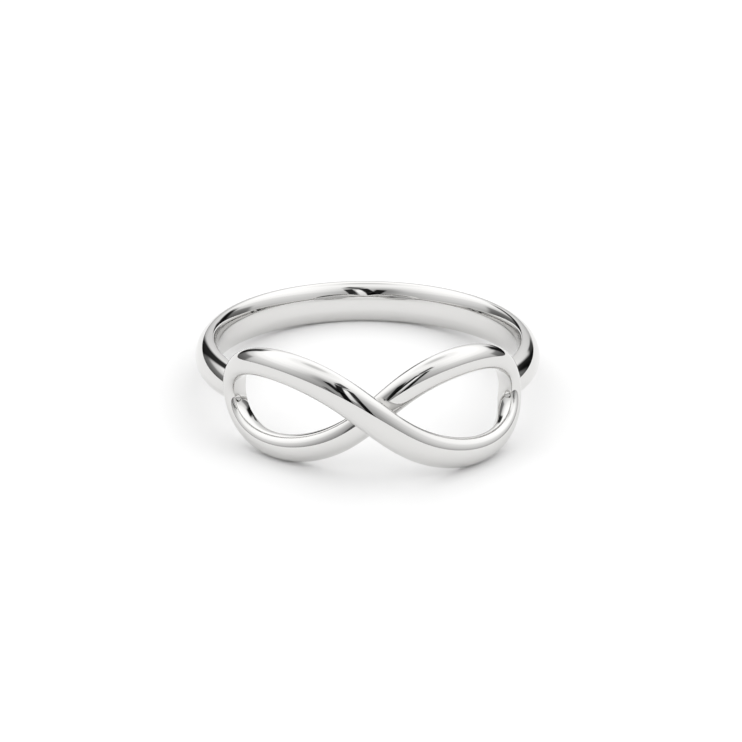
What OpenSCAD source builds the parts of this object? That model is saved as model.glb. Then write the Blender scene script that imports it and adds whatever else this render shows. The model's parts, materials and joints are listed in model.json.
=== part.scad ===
// Finger ring with an infinity motif: a rounded band whose two ends run into
// a figure eight of one closed strand, cast as one piece of polished silver.
// Lengths are in millimetres. The ring lies as it rests by itself on a table,
// on the two lower lobes of the figure eight and on the back of the band.

/* [Finger hole] */
// Diameter of the finger hole
bore_d = 17.3; // [14:0.1:22]

/* [Band] */
// Width of the band at the back
band_w = 2.46; // [1.6:0.02:3.2]
// Thickness of the band at the back
band_t = 1.31; // [1:0.01:2]
// Width of the band where it meets the loops
band_end_w = 2.06; // [1.4:0.02:2.3]
// Thickness of the band where it meets the loops
band_end_t = 1.25; // [0.9:0.05:1.3]
// Depth of the rounding on the band's inner side at the back
band_round = 0.5; // [0.2:0.02:0.6]
// Depth of the rounding on the band's inner side where it meets the loops
band_end_round = 0.1; // [0.06:0.02:0.3]

/* [Figure eight] */
// Length along the finger's curve from the crossing to the end of a loop
loop_reach = 9.46; // [7.6:0.01:10.6]
// Height of a loop's strand above the middle of the figure eight
loop_rise = 2.54; // [2.2:0.01:3.4]
// Height of the figure eight's middle above the band's middle
loop_up = -0.14; // [-0.4:0.01:0.4]
// Radius of the barrel that the face of the figure eight bulges to
face_r = 37; // [25:1:120]

/* [Strand] */
// Width of the strand along the top and bottom of a loop
strand_w = 1.72; // [1.3:0.02:1.9]
// Width of the strand at the outer end of a loop
strand_end_w = 1.06; // [0.8:0.02:1.4]
// Width of the lower strand at the crossing
under_w = 1.62; // [1.2:0.02:1.8]
// Width of the upper strand at the crossing
over_w = 1.8; // [1.3:0.02:2]
// Height of the side wall at the outer end of a loop
wall_end = 0.66; // [0.5:0.02:1]
// Height of the side wall along the top and bottom of a loop
wall_loop = 0.05; // [0.04:0.01:0.4]
// Share of half the strand's width by which the side walls draw in at the foot
wall_tuck = 0.6; // [0:0.05:0.7]
// Height of the domed face along the loops, as a share of half the strand's width
dome = 0.88; // [0.7:0.01:1.2]
// Height of the domed face at the crossing, as a share of half the strand's width
dome_cross = 0.5; // [0.4:0.01:0.7]
// Slope of the strand's face down to the outside, at the outer end of a loop
face_slope = 0.23; // [0:0.01:0.3]
// Height that the upper strand rises off the finger at the crossing
lift = 1.32; // [0.8:0.02:1.5]
// Depth of the upper strand into the lower one at the crossing
weld = 0.4; // [0.2:0.02:0.6]

/* [Hidden] */
silver = [0.87, 0.87, 0.86];
band_steps = 84;
band_sides = 12;
strand_steps = 144;
strand_sides = 14;
wall_sides = 3;
// Depth that the rough strand reaches into the finger hole before it is bored
bore_stock = 0.35;
// Depth that the middle of the band reaches into the finger hole before that
band_stock = 0.03;
// Length that the band's ends run past the middle of the strand
band_bite = 0.1;
// Times that the ring is set down again to settle on its three lowest points
settle_tries = 6;
// Share of the strand's turn over which its back leaves the finger
lift_ease = 0.25;
// Power at which the side walls gain height towards the outer ends of the loops
wall_gather = 2.8;
// Power at which the domed face flattens towards the crossing
dome_gather = 6;
// Half of the turn, in degrees, over which the upper strand sinks into the lower
weld_turn = 17;

bore_r = bore_d / 2;
// Length of the bore's cut, well past both lobes and the band
bore_cut = 4 * (loop_rise + strand_w) + band_w;
// Height off the finger at which the strand's lengths and widths are true
path_h = 0.7;
path_r = bore_r + path_h;
// The band spans this angle each way from its back, into the ends of the loops
band_span = 180 - (loop_reach - band_bite) / path_r * 180 / PI;

// Shares of loop_reach in one, three and five turns, which square the loop's end
REACH_SHARES = [0.864, 0.126, 0.010];
// Shares of loop_rise in two, four and six turns, which fill the loop out
RISE_SHARES = [1, 0.105, 0.018];

// The figure eight's centre line for a turn of t degrees: t is 0 at the left
// end, 90 where it crosses underneath, 180 at the right end, 270 on top
function path_u(t) = -loop_reach * (REACH_SHARES[0] * cos(t) + REACH_SHARES[1] * cos(3 * t)
    + REACH_SHARES[2] * cos(5 * t));
function path_z(t) = -loop_rise * (RISE_SHARES[0] * sin(2 * t) + RISE_SHARES[1] * sin(4 * t)
    + RISE_SHARES[2] * sin(6 * t));
function slope_u(t) = loop_reach * (REACH_SHARES[0] * sin(t) + 3 * REACH_SHARES[1] * sin(3 * t)
    + 5 * REACH_SHARES[2] * sin(5 * t));
function slope_z(t) = -loop_rise * (2 * RISE_SHARES[0] * cos(2 * t) + 4 * RISE_SHARES[1] * cos(4 * t)
    + 6 * RISE_SHARES[2] * cos(6 * t));

// Half of the strand's width, through its four named widths
cross_w = (under_w + over_w) / 2;
mean_half = ((strand_end_w + cross_w) / 4 + strand_w / 2) / 2;
end_half = (strand_end_w - cross_w) / 4;
mid_half = ((strand_end_w + cross_w) / 4 - strand_w / 2) / 2;
over_half = (over_w - under_w) / 4;
function half_w(t) = mean_half - over_half * sin(t) + end_half * cos(2 * t) + mid_half * cos(4 * t);
// The domed face flattens towards the crossing
function dome_at(t) = dome + (dome_cross - dome) * pow(abs(sin(t)), dome_gather);
// The side walls are low along the loops. They gather height to the outer ends,
// and at the crossing they gain what the dome loses
function wall(t) = wall_loop + (wall_end - wall_loop) * pow(abs(cos(t)), wall_gather)
    + (dome - dome_at(t)) * half_w(t);

// Height of the strand's foot above the finger: none on the lower strand, and
// rising smoothly to lift on the upper one
function rise(t) = lift * (sqrt(pow(sin(t), 2) + pow(lift_ease, 2)) - sin(t)) / 2;
function ease(x) = x <= 0 ? 0 : x >= 1 ? 1 : x * x * (3 - 2 * x);
// The foot goes into the bore's stock where it lies on the finger, and into the
// lower strand at the crossing
under_top = wall_loop + dome * under_w / 2;
function foot(t) = rise(t) - bore_stock * (1 - ease(-2 * sin(t)))
    - (lift - under_top + weld) * exp(-pow((t - 270) / weld_turn, 2));

// A point of the figure eight: u along the finger's curve, z up, h off the finger
function wrap(u, z, h) = let (a = u / path_r * 180 / PI)
    [(bore_r + h) * sin(a), -(bore_r + h) * cos(a), z * (1 + h / face_r) + loop_up];

// One section across the strand: up one side wall, over the dome and down the
// other. The walls are upright at the dome and draw in below it
function strand_section(t) = let (
        du = slope_u(t), dz = slope_z(t), len = norm([du, dz]),
        w = half_w(t), top = rise(t) + wall(t))
    [for (i = [-wall_sides : strand_sides + wall_sides])
        let (
            k = min(max(i, 0), strand_sides) * 180 / strand_sides,
            below = max(-i, i - strand_sides, 0) / wall_sides,
            edge = -w * cos(k),
            face = top + dome_at(t) * w * sin(k) + face_slope * cos(t) * edge,
            s = edge * (1 - wall_tuck * pow(below, 2)))
        wrap(path_u(t) - dz / len * s, path_z(t) + du / len * s, face + (foot(t) - face) * below)];

// The band tapers from its back to its ends, and the taper gathers to the ends
function band_size(a, back, end) = back + (end - back) * pow((1 - cos(a)) / (1 - cos(band_span)), 2);
// One section across the band at an angle from the back: half an ellipse on the
// outside, and a flatter half on the inside, whose middle the bore cuts straight
function band_section(a) = let (
        w = band_size(a, band_w, band_end_w) / 2,
        t = band_size(a, band_t, band_end_t),
        inner = band_size(a, band_round, band_end_round),
        dir = [sin(a), cos(a), 0])
    [for (i = [0 : 2 * band_sides - 1])
        let (
            k = i * 180 / band_sides,
            reach = i < band_sides ? t - inner : inner + band_stock)
        dir * (bore_r + inner + reach * sin(k)) + [0, 0, w * cos(k)]];

// The strand is one closed run, made in two halves that meet in the outer ends
// of the loops, so that it can cross itself
under_rings = [for (i = [0 : strand_steps / 2]) strand_section(i * 360 / strand_steps)];
over_rings = [for (i = [strand_steps / 2 : strand_steps]) strand_section(i * 360 / strand_steps)];
band_rings = [for (i = [0 : band_steps]) band_section(band_span * (2 * i / band_steps - 1))];

function flat(rings) = [for (r = rings) each r];

// The table plane under the ring: its upward normal, found by resting the ring
// on the lowest points of the left lobe, the right lobe and the band's back
function lowest(pts, up) = let (d = [for (p = pts) p * up], m = min(d))
    [for (i = [0 : len(pts) - 1]) if (d[i] == m) pts[i]][0];
function unit(v) = v / norm(v);
strand_pts = flat(concat(under_rings, over_rings));
left_pts = [for (p = strand_pts) if (p[0] < 0) p];
right_pts = [for (p = strand_pts) if (p[0] >= 0) p];
band_pts = flat(band_rings);
back_pts = [for (p = band_pts) if (p[1] > 0 && norm([p[0], p[1]]) >= bore_r) p];
function settle(up, tries) = tries == 0 ? up : let (
        l = lowest(left_pts, up), r = lowest(right_pts, up), b = lowest(back_pts, up))
    settle(unit(cross(r - l, b - l)), tries - 1);
up = settle([0, 0, 1], settle_tries);
tip_x = atan2(up[1], up[2]);
tip_y = -atan2(up[0], norm([up[1], up[2]]));
// The rows of the turn that brings up to +Z
row_x = [cos(tip_y), sin(tip_y) * sin(tip_x), sin(tip_y) * cos(tip_x)];
row_y = [0, cos(tip_x), -sin(tip_x)];
row_z = [-sin(tip_y), cos(tip_y) * sin(tip_x), cos(tip_y) * cos(tip_x)];
all_pts = concat(strand_pts, [for (p = band_pts) if (norm([p[0], p[1]]) >= bore_r) p]);
function middle(row) = let (d = [for (p = all_pts) p * row]) (min(d) + max(d)) / 2;
rest_shift = [-middle(row_x), -middle(row_y), -min([for (p = all_pts) p * row_z])];

// A solid through a row of sections that all have the same number of points
module loft(rings) {
    n = len(rings[0]);
    last = (len(rings) - 1) * n;
    sides = [
        for (i = [0 : len(rings) - 2], j = [0 : n - 1])
            let (a = i * n + j, b = i * n + (j + 1) % n)
            each [[a, b, b + n], [a, b + n, a + n]]];
    caps = [[for (j = [n - 1 : -1 : 0]) j], [for (j = [0 : n - 1]) last + j]];
    polyhedron(flat(rings), concat(sides, caps), convexity = 6);
}

module ring() {
    color(silver)
        translate(rest_shift)
            rotate([tip_x, tip_y, 0])
                difference() {
                    union() {
                        loft(under_rings);
                        loft(over_rings);
                        loft(band_rings);
                    }
                    cylinder(h = bore_cut, r = bore_r, center = true, $fn = 180);
                }
}

ring();
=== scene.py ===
"""An infinity ring in polished silver: a rounded band whose two ends run into a figure
eight of one closed strand. It lies at rest on a pale studio floor."""

import json
import math

import bpy
import numpy as np
from bpy.props import FloatProperty, FloatVectorProperty, IntProperty, PointerProperty
from bpy.types import Operator, Panel, PropertyGroup
from mathutils import Matrix, Vector


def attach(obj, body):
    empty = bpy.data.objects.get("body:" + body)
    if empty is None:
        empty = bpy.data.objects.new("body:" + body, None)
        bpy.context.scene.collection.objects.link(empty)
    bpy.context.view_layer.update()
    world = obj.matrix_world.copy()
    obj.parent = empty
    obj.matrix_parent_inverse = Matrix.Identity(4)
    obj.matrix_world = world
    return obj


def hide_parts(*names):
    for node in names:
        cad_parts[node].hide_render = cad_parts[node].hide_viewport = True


bl_info = {
    "name": "Infinity Ring",
    "version": (1, 0, 0),
    "blender": (4, 5, 0),
    "location": "View3D > Sidebar > Infinity Ring",
    "description": "Builds a polished infinity ring and the pale studio that it lies in",
    "category": "Add Mesh",
}

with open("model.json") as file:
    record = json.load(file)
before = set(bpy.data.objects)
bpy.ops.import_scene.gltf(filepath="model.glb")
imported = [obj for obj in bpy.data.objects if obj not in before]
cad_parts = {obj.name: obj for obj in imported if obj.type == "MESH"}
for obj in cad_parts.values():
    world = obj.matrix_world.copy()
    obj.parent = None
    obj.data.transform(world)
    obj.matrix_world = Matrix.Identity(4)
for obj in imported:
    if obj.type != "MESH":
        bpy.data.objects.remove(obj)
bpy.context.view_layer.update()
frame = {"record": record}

MM = 0.001
# The finger hole's place and lean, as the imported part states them: the ring is made upright
# round the origin and then laid down there
hole = frame["record"]["mounts"][0]
HOLE_RADIUS = hole["dims"]["r_mm"] * MM
HOLE_AXIS = Vector(hole["axis"]).normalized()
RING_PLACE = (
    Matrix.Translation(hole["pos_m"])
    @ Matrix.Rotation(math.atan2(HOLE_AXIS.x, HOLE_AXIS.z), 4, "Y")
    @ Matrix.Rotation(-math.asin(HOLE_AXIS.y), 4, "X")
)

# Shares of a loop's reach in one, three and five turns, which square its outer end
REACH_SHARES = (0.864, 0.126, 0.010)
# Shares of a loop's rise in two, four and six turns, which fill it out
RISE_SHARES = (1.0, 0.105, 0.018)
# Share of the strand's turn over which its back leaves the finger
LIFT_EASE = 0.25
# Power at which the side walls gain height towards the outer ends of the loops
WALL_GATHER = 2.8
# Power at which the domed face flattens towards the crossing
DOME_GATHER = 6
# Turn at which the strand passes over itself, and half of the turn over which its foot sinks
# into the lower strand there
OVER_TURN = 1.5 * math.pi
WELD_TURN = math.radians(17)
# Faces up each side wall of the strand, and across its underside
WALL_FACES = 6
BACK_FACES = 8
# Creases sharper than this stay crisp
SHARP_ANGLE = math.radians(35)
# Centre that the raw rings of a solid are spun round, well beside them
SPIN_CENTRE = (0, -9, 0)
# Faces round the bore, and its length, which reaches well past the loops and the band
BORE_FACES = 720
BORE_LENGTH = 4 * HOLE_RADIUS

# The picture: its size in pixels, its scale at the ring's centre, and that centre's place in it
PICTURE = 742
PIXELS_PER_MM = 17.328
CENTRE_IN_PICTURE = (367.680, 354.557)
# The camera's sensor in millimetres, and the nearest distance in metres that the camera shows
SENSOR = 36
CLIP_START = 0.01


def length(name, description, mm, low, high):
    """A size property, given in millimetres and kept in metres."""
    return FloatProperty(
        name=name,
        description=description,
        default=mm * MM,
        min=low * MM,
        max=high * MM,
        unit="LENGTH",
        precision=5,
    )


def share(name, description, value, low, high):
    """A property that is a plain share."""
    return FloatProperty(
        name=name, description=description, default=value, min=low, max=high, subtype="FACTOR"
    )


def angle(name, description, degrees):
    """An angle property, given in degrees."""
    return FloatProperty(
        name=name, description=description, default=math.radians(degrees), subtype="ANGLE"
    )


def colour(name, description, value):
    """A colour property."""
    return FloatVectorProperty(
        name=name, description=description, subtype="COLOR", default=value, min=0, max=1
    )


def count(name, description, value, low):
    """A property that counts faces or sections."""
    return IntProperty(name=name, description=description, default=value, min=low)


class BandSizes(PropertyGroup):
    """Sizes of the band."""

    width: length("Width", "Width at the back", 2.46, 1.6, 3.2)
    thickness: length("Thickness", "Thickness at the back", 1.31, 1, 2)
    end_width: length("End width", "Width where the band meets the loops", 2.06, 1.4, 2.3)
    end_thickness: length("End thickness", "Thickness where it meets the loops", 1.25, 0.9, 1.3)
    inner: length("Inner rounding", "Depth of the inner side's rounding at the back", 0.5, 0.2, 0.6)
    end_inner: length("End rounding", "The same depth where it meets the loops", 0.1, 0.06, 0.3)
    stock: length("Stock", "Depth of the rough band that the bore takes off", 0.03, 0.01, 0.1)
    bite: length("Bite", "Length that the ends run past the middle of the strand", 0.1, 0, 0.3)
    steps: count("Steps", "Sections along the band", 492, 24)
    sides: count("Sides", "Faces across each side of the band", 32, 8)


class StrandSizes(PropertyGroup):
    """Sizes of the strand that makes the figure eight."""

    reach: length("Reach", "Length round the finger from crossing to loop's end", 9.46, 7.6, 10.6)
    loop_rise: length("Rise", "Height of a loop's strand above the middle", 2.54, 2.2, 3.4)
    up: length("Up", "Height of the figure eight's middle above the band's", -0.14, -0.4, 0.4)
    face_radius: length("Face radius", "Radius of the barrel that the face bulges to", 37, 25, 120)
    path_height: length("Path height", "Height off the finger where lengths are true", 0.7, 0, 2)
    width: length("Width", "Width along the top and bottom of a loop", 1.72, 1.3, 1.9)
    end_width: length("End width", "Width at a loop's outer end", 1.06, 0.8, 1.4)
    under_width: length("Under width", "Width of the lower strand at the crossing", 1.62, 1.2, 1.8)
    over_width: length("Over width", "Width of the upper strand at the crossing", 1.8, 1.3, 2)
    end_wall: length("End wall", "Height of the side wall at a loop's outer end", 0.66, 0.5, 1)
    loop_wall: length("Loop wall", "Height of the side wall along top and bottom", 0.05, 0.04, 0.4)
    lift: length("Lift", "Height that the upper strand rises off the finger", 1.32, 0.8, 1.5)
    weld: length("Weld", "Depth of the upper strand into the lower one", 0.4, 0.2, 0.6)
    stock: length("Stock", "Depth of the rough strand that the bore takes off", 0.35, 0.1, 1)
    tuck: share("Tuck", "Share of half the width lost at the foot of the walls", 0.67, 0, 0.7)
    dome: share("Dome", "Height of the domed face, as a share of half the width", 0.88, 0.7, 1.2)
    cross_dome: share("Crossing dome", "The same share at the crossing", 0.5, 0.4, 0.7)
    slope: share("Slope", "Slope of the face to the outside at a loop's end", 0.23, 0, 0.3)
    steps: count("Steps", "Sections round the strand", 720, 48)
    sides: count("Sides", "Faces across the strand's dome", 44, 8)


class RingFinish(PropertyGroup):
    """Finish of the metal."""

    silver: colour("Silver", "Colour that the polished metal reflects", (0.705, 0.70, 0.69))
    roughness: share("Roughness", "Blur of the reflections", 0.03, 0, 1)


class StudioLook(PropertyGroup):
    """Look of the floor, the light and the picture."""

    floor: colour("Floor", "Colour of the floor", (0.97, 0.97, 0.97))
    floor_size: length("Floor size", "Length of the floor's sides", 2000, 500, 5000)
    light: FloatProperty(name="Light", description="Strength of the light", default=1.5, min=0)
    azimuth: angle("Camera azimuth", "Turn of the camera round the ring's axis", -3.213)
    elevation: angle("Camera elevation", "Angle of the camera above the ring's own plane", 20.377)
    roll: angle("Camera roll", "Turn of the camera about its line of sight", 0.358)
    distance: length("Camera distance", "Distance from the ring's centre", 300, 100, 2000)


# ---- making and joining solids ----


def select_only(piece):
    """Leaves one object selected and active."""
    bpy.ops.object.select_all(action="DESELECT")
    piece.select_set(True)
    bpy.context.view_layer.objects.active = piece


def combine(piece, operation, other):
    """Joins another solid to a piece or cuts it out of the piece, and removes the other."""
    select_only(piece)
    bpy.ops.object.modifier_add(type="BOOLEAN")
    modifier = piece.modifiers[-1]
    modifier.operation = operation
    modifier.object = other
    modifier.solver = "MANIFOLD"
    bpy.ops.object.modifier_apply(modifier=modifier.name)
    bpy.data.objects.remove(other)


def loft(name, sections):
    """A closed solid through a row of sections: a circle is spun into as many rings as there
    are sections, its ends are filled, and each ring is then shaped to its section."""
    rings, points = sections.shape[:2]
    bpy.ops.object.select_all(action="DESELECT")
    bpy.ops.mesh.primitive_circle_add(vertices=points, radius=1)
    piece = bpy.context.active_object
    piece.name = name
    bpy.ops.object.mode_set(mode="EDIT")
    bpy.ops.mesh.select_all(action="SELECT")
    bpy.ops.transform.rotate(value=math.pi / 2, orient_axis="Y", center_override=(0, 0, 0))
    bpy.ops.mesh.spin(steps=rings - 1, angle=math.pi, center=SPIN_CENTRE, axis=(0, 0, 1))
    bpy.ops.mesh.select_all(action="SELECT")
    bpy.ops.mesh.fill_holes(sides=0)
    bpy.ops.object.mode_set(mode="OBJECT")
    piece.data.vertices.foreach_set("co", sections.ravel())
    piece.data.update()
    bpy.ops.object.mode_set(mode="EDIT")
    bpy.ops.mesh.select_all(action="SELECT")
    bpy.ops.mesh.normals_make_consistent(inside=False)
    bpy.ops.object.mode_set(mode="OBJECT")
    return piece


# ---- the strand ----


def strand_path(t, s):
    """The figure eight's centre line at turns t: its place round the finger and up, and its
    slope."""
    k = np.array([1, 3, 5])[:, None]
    reach = np.array(REACH_SHARES)[:, None] * s.reach
    u, du = -(reach * np.cos(k * t)).sum(0), (reach * k * np.sin(k * t)).sum(0)
    k = np.array([2, 4, 6])[:, None]
    rise = np.array(RISE_SHARES)[:, None] * s.loop_rise
    z, dz = -(rise * np.sin(k * t)).sum(0), -(rise * k * np.cos(k * t)).sum(0)
    return u, z, du, dz


def strand_half_width(t, s):
    """Half of the strand's width at turns t, through its four named widths."""
    crossing = (s.under_width + s.over_width) / 2
    mean = ((s.end_width + crossing) / 4 + s.width / 2) / 2
    end = (s.end_width - crossing) / 4
    middle = ((s.end_width + crossing) / 4 - s.width / 2) / 2
    over = (s.over_width - s.under_width) / 4
    return mean - over * np.sin(t) + end * np.cos(2 * t) + middle * np.cos(4 * t)


def strand_dome(t, s):
    """Height of the domed face at turns t, as a share of half the width; it flattens towards the
    crossing."""
    return s.dome + (s.cross_dome - s.dome) * np.abs(np.sin(t)) ** DOME_GATHER


def strand_heights(t, s):
    """Heights off the finger at turns t: of the strand's foot, and of the top of its side walls,
    which at the crossing gain what the dome loses."""
    wall = s.loop_wall + (s.end_wall - s.loop_wall) * np.abs(np.cos(t)) ** WALL_GATHER
    wall = wall + (s.dome - strand_dome(t, s)) * strand_half_width(t, s)
    back = s.lift * (np.sqrt(np.sin(t) ** 2 + LIFT_EASE**2) - np.sin(t)) / 2
    ease = np.clip(-2 * np.sin(t), 0, 1)
    ease = ease * ease * (3 - 2 * ease)
    under_top = s.loop_wall + s.dome * s.under_width / 2
    sink = np.exp(-(((t - OVER_TURN) / WELD_TURN) ** 2))
    foot = back - s.stock * (1 - ease) - (s.lift - under_top + s.weld) * sink
    return foot, back + wall


def wrap(u, z, h, s):
    """Points on the finger: u along its curve, z up, h off it."""
    turn = u / (HOLE_RADIUS + s.path_height)
    out = HOLE_RADIUS + h
    up = z * (1 + h / s.face_radius) + s.up
    return np.stack([out * np.sin(turn), -out * np.cos(turn), up], -1)


def strand_sections(s, start, end):
    """The strand's sections from turn start to turn end. Each goes up one side wall, over the
    dome, down the other wall and back under."""
    t = np.linspace(start, end, s.steps // 2 + 1)
    u, z, du, dz = strand_path(t, s)
    half = strand_half_width(t, s)
    foot, top = strand_heights(t, s)
    crown = strand_dome(t, s) * half
    dome = np.linspace(0, math.pi, s.sides + 1)
    wall = np.linspace(0, 1, WALL_FACES + 1)[:-1]
    side = 1 - s.tuck * (1 - wall) ** 2
    under = side[0] * np.linspace(1, -1, BACK_FACES + 1)[1:-1]
    across = np.concatenate([-side, -np.cos(dome), side[::-1], under])
    rows = []
    for i in range(len(t)):
        lean = s.slope * math.cos(t[i]) * half[i]
        near = foot[i] + (top[i] - lean - foot[i]) * wall
        far = foot[i] + (top[i] + lean - foot[i]) * wall
        face = top[i] + crown[i] * np.sin(dome) - lean * np.cos(dome)
        h = np.concatenate([near, face, far[::-1], np.full(len(under), foot[i])])
        w = across * half[i]
        run = math.hypot(du[i], dz[i])
        rows.append(wrap(u[i] - dz[i] / run * w, z[i] + du[i] / run * w, h, s))
    return np.array(rows)


class RING_OT_strand(Operator):
    """Makes the figure eight: one closed strand that crosses over itself, in two halves"""

    bl_idname = "infinity_ring.strand"
    bl_label = "Strand"

    def execute(self, context):
        sizes = context.scene.ring_strand
        loft("under strand", strand_sections(sizes, 0, math.pi))
        loft("over strand", strand_sections(sizes, math.pi, 2 * math.pi))
        return {"FINISHED"}


# ---- the band ----


def band_size(turn, span, back, end):
    """A size of the band at an angle from its back; it tapers towards the ends."""
    return back + (end - back) * ((1 - math.cos(turn)) / (1 - math.cos(span))) ** 2


def band_sections(b, span):
    """The band's sections between its ends: half an ellipse outside, and a flatter half inside,
    whose middle the bore cuts straight."""
    across = np.linspace(0, 2 * math.pi, 2 * b.sides, endpoint=False)
    rows = []
    for a in np.linspace(-span, span, b.steps + 1):
        w = band_size(a, span, b.width, b.end_width) / 2
        t = band_size(a, span, b.thickness, b.end_thickness)
        inner = band_size(a, span, b.inner, b.end_inner)
        reach = np.where(across < math.pi, t - inner, inner + b.stock)
        out = HOLE_RADIUS + inner + reach * np.sin(across)
        rows.append(np.stack([out * math.sin(a), out * math.cos(a), w * np.cos(across)], -1))
    return np.array(rows)


class RING_OT_band(Operator):
    """Makes the rounded band behind the figure eight"""

    bl_idname = "infinity_ring.band"
    bl_label = "Band"

    def execute(self, context):
        band, strand = context.scene.ring_band, context.scene.ring_strand
        span = math.pi - (strand.reach - band.bite) / (HOLE_RADIUS + strand.path_height)
        loft("band", band_sections(band, span))
        return {"FINISHED"}


# ---- the whole ring ----


def silver_material(finish):
    """Polished silver."""
    material = bpy.data.materials.new("polished silver")
    material.use_nodes = True
    shader = material.node_tree.nodes["Principled BSDF"]
    shader.inputs["Base Color"].default_value = (*finish.silver, 1)
    shader.inputs["Metallic"].default_value = 1
    shader.inputs["Roughness"].default_value = finish.roughness
    return material


class RING_OT_ring(Operator):
    """Joins the strand and the band, bores the finger hole, polishes the ring and lays it down"""

    bl_idname = "infinity_ring.ring"
    bl_label = "Ring"

    def execute(self, context):
        ring = bpy.data.objects["under strand"]
        bpy.ops.object.select_all(action="DESELECT")
        bpy.ops.mesh.primitive_cylinder_add(
            vertices=BORE_FACES, radius=HOLE_RADIUS, depth=BORE_LENGTH, end_fill_type="NGON"
        )
        bore = context.active_object
        combine(ring, "UNION", bpy.data.objects["over strand"])
        combine(ring, "UNION", bpy.data.objects["band"])
        combine(ring, "DIFFERENCE", bore)
        ring.name = "infinity_ring"
        ring.data.transform(RING_PLACE)
        select_only(ring)
        bpy.ops.object.shade_smooth_by_angle(angle=SHARP_ANGLE)
        ring.data.materials.clear()
        ring.data.materials.append(silver_material(context.scene.ring_finish))
        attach(ring, "root")
        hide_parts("ring")
        return {"FINISHED"}


# ---- the studio ----


# The dome of light round the ring. Columns: the sine of the height above the horizon, and the
# brightness there
DOME_GREYS = (
    (0.0, 0.33),
    (0.09, 0.43),
    (0.21, 0.55),
    (0.37, 0.65),
    (0.55, 0.88),
    (0.70, 0.98),
    (0.87, 0.98),
    (0.965, 0.85),
    (1.0, 0.55),
)

# Patches and strips that hang in the dome, to draw greys and crisp lines in the metal. Each runs
# from one direction to another. Columns: turn and height of the first end, turn and height of
# the second end, half of the width, softness of the edges, all in degrees, and the share of the
# light that it takes; a share below 0 adds light.
STRIPS = (
    (-8, -10, -12, 52, 32, 48, 0.48),
    (-152, 0, -108, 0, 16, 24, 0.38),
    (105, -8, 142, 10, 16, 24, 0.38),
    (-154, -8, -154, 34, 9, 7, 0.97),
    (141, -12, 131, 26, 10, 8, 0.97),
    (-9, -9, -5, 20, 3.4, 1.4, 0.98),
    (-5, 20, 1, 38, 3.4, 1.5, 0.97),
    (2, 39, 18, 47, 4.5, 3, 0.88),
    (6, -9, 8.5, 18, 3.2, 1.5, 0.98),
    (8.5, 18, 14, 36, 3.2, 1.5, 0.95),
    (-1, 8, 3.5, 30, 3.0, 1.2, -1.2),
    (-8, 12, -15, 32, 4.0, 2.5, 0.96),
    (-11, 20, -26, 36, 8, 16, 0.40),
    (-23, 9, -17, -2, 2.4, 3, 0.70),
    (-145, 3, -108, 10, 10, 7, 0.60),
    (98, 4, 136, 8, 10, 7, 0.60),
    (-175, -6, -150, -2, 5, 5, 0.90),
    (143, 2, 156, 10, 6, 5, 0.90),
)

# How far a direction may point away from a strip's middle, as a cosine, and the softness of that
# edge: it keeps the strip out of the opposite side of the dome
FAR_SIDE = -0.1
FAR_SOFT = 0.2


def floor_material(look):
    """The matte floor."""
    material = bpy.data.materials.new("pale floor")
    material.use_nodes = True
    shader = material.node_tree.nodes["Principled BSDF"]
    shader.inputs["Base Color"].default_value = (*look.floor, 1)
    shader.inputs["Roughness"].default_value = 1
    shader.inputs["Specular IOR Level"].default_value = 0
    return material


def direction(turn, height):
    """The direction at a turn and a height in degrees; a turn of 0 is towards the viewer."""
    t, h = math.radians(turn), math.radians(height)
    return Vector((math.sin(t) * math.cos(h), -math.cos(t) * math.cos(h), math.sin(h)))


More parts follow.
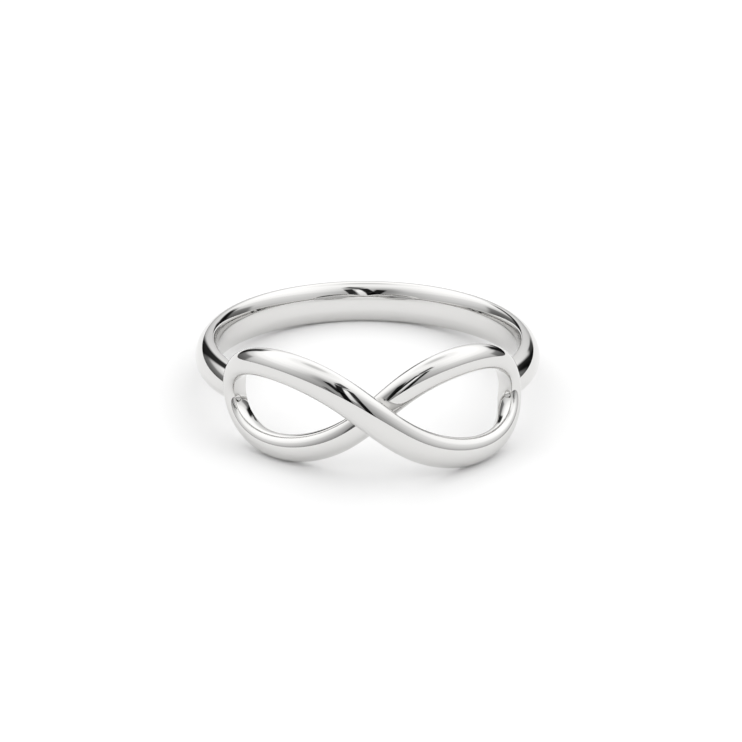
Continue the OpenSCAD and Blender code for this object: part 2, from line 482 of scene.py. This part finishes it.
def studio_world(look):
    """The light: a dome that is grey at the horizon and bright above, with the strips in it."""
    world = bpy.data.worlds.new("studio")
    world.use_nodes = True
    tree = world.node_tree
    coordinate = tree.nodes.new("ShaderNodeTexCoord").outputs["Generated"]

    def calc(operation, a, b=0.0):
        node = tree.nodes.new("ShaderNodeMath")
        node.operation = operation
        for socket, value in zip(node.inputs, (a, b)):
            if isinstance(value, bpy.types.NodeSocket):
                tree.links.new(value, socket)
            else:
                socket.default_value = value
        return node.outputs[0]

    def along(axis):
        """How far a direction points along an axis."""
        node = tree.nodes.new("ShaderNodeVectorMath")
        node.operation = "DOT_PRODUCT"
        tree.links.new(coordinate, node.inputs[0])
        node.inputs[1].default_value = axis
        return node.outputs["Value"]

    def inside(distance, edge, soft):
        """1 within the edge and 0 beyond it, smoothly over the soft width."""
        node = tree.nodes.new("ShaderNodeMapRange")
        node.interpolation_type = "SMOOTHSTEP"
        tree.links.new(distance, node.inputs["Value"])
        node.inputs["From Min"].default_value = edge - soft / 2
        node.inputs["From Max"].default_value = edge + soft / 2
        node.inputs["To Min"].default_value = 1
        node.inputs["To Max"].default_value = 0
        return node.outputs["Result"]

    ramp = tree.nodes.new("ShaderNodeValToRGB")
    ramp.color_ramp.interpolation = "EASE"
    while len(ramp.color_ramp.elements) < len(DOME_GREYS):
        ramp.color_ramp.elements.new(1)
    for element, (place, grey) in zip(ramp.color_ramp.elements, DOME_GREYS):
        element.position = place
        element.color = (grey, grey, grey, 1)
    tree.links.new(along((0, 0, 1)), ramp.inputs["Fac"])
    light = look.light
    for turn_a, height_a, turn_b, height_b, half, soft, taken in STRIPS:
        a, b = direction(turn_a, height_a), direction(turn_b, height_b)
        middle, run = (a + b).normalized(), (b - a).normalized()
        across = middle.cross(run)
        soft = math.radians(soft)
        far = inside(calc("ABSOLUTE", along(run)), math.sin(a.angle(b) / 2), soft)
        wide = inside(calc("ABSOLUTE", along(across)), math.sin(math.radians(half)), soft)
        facing = inside(along(-middle), FAR_SIDE, FAR_SOFT)
        mask = calc("MULTIPLY", calc("MULTIPLY", far, wide), facing)
        light = calc("MULTIPLY", light, calc("SUBTRACT", 1.0, calc("MULTIPLY", mask, taken)))
    background = tree.nodes["Background"]
    tree.links.new(ramp.outputs["Color"], background.inputs["Color"])
    tree.links.new(light, background.inputs["Strength"])
    return world


def add_camera(look):
    """The camera, set in the ring's own frame, so that it leans with the ring."""
    e, a = look.elevation, look.azimuth
    toward = Vector((math.sin(a) * math.cos(e), -math.cos(a) * math.cos(e), math.sin(e)))
    right = Vector((math.cos(a), math.sin(a), 0))
    turn = Matrix((right, toward.cross(right), toward)).transposed().to_4x4()
    bpy.ops.object.camera_add()
    camera = bpy.context.active_object
    camera.matrix_world = (
        RING_PLACE
        @ Matrix.Translation(toward * look.distance)
        @ turn
        @ Matrix.Rotation(look.roll, 4, "Z")
    )
    camera.data.sensor_width = SENSOR
    camera.data.lens = SENSOR * PIXELS_PER_MM * look.distance / MM / PICTURE
    camera.data.shift_x = 0.5 - CENTRE_IN_PICTURE[0] / PICTURE
    camera.data.shift_y = CENTRE_IN_PICTURE[1] / PICTURE - 0.5
    camera.data.clip_start = CLIP_START
    return camera


class RING_OT_studio(Operator):
    """Makes the floor, the light and the camera"""

    bl_idname = "infinity_ring.studio"
    bl_label = "Studio"

    def execute(self, context):
        look = context.scene.ring_studio
        bpy.ops.object.select_all(action="DESELECT")
        bpy.ops.mesh.primitive_plane_add(size=look.floor_size)
        floor = context.active_object
        floor.name = "studio floor"
        floor.data.materials.append(floor_material(look))
        context.scene.world = studio_world(look)
        context.scene.view_settings.view_transform = "Standard"
        context.scene.camera = add_camera(look)
        return {"FINISHED"}


# ---- the add-on ----

GROUPS = (
    ("ring_band", "Band", BandSizes),
    ("ring_strand", "Strand", StrandSizes),
    ("ring_finish", "Finish", RingFinish),
    ("ring_studio", "Studio", StudioLook),
)
OPERATORS = (RING_OT_strand, RING_OT_band, RING_OT_ring, RING_OT_studio)


class RING_PT_panel(Panel):
    """Lists the ring's sizes and finishes, and the operators that build it, in order"""

    bl_idname = "RING_PT_panel"
    bl_label = "Infinity Ring"
    bl_space_type = "VIEW_3D"
    bl_region_type = "UI"
    bl_category = "Infinity Ring"

    def draw(self, context):
        for attribute, title, group in GROUPS:
            box = self.layout.box()
            box.label(text=title)
            for name in group.__annotations__:
                box.prop(getattr(context.scene, attribute), name)
        for operator in OPERATORS:
            self.layout.operator(operator.bl_idname)


def register():
    for attribute, title, group in GROUPS:
        bpy.utils.register_class(group)
        setattr(bpy.types.Scene, attribute, PointerProperty(name=title, type=group))
    for item in (*OPERATORS, RING_PT_panel):
        bpy.utils.register_class(item)


def unregister():
    for item in (RING_PT_panel, *reversed(OPERATORS)):
        bpy.utils.unregister_class(item)
    for attribute, title, group in reversed(GROUPS):
        delattr(bpy.types.Scene, attribute)
        bpy.utils.unregister_class(group)


def main():
    register()
    bpy.ops.infinity_ring.strand()
    bpy.ops.infinity_ring.band()
    bpy.ops.infinity_ring.ring()
    bpy.ops.infinity_ring.studio()


if __name__ == "__main__":
    main()
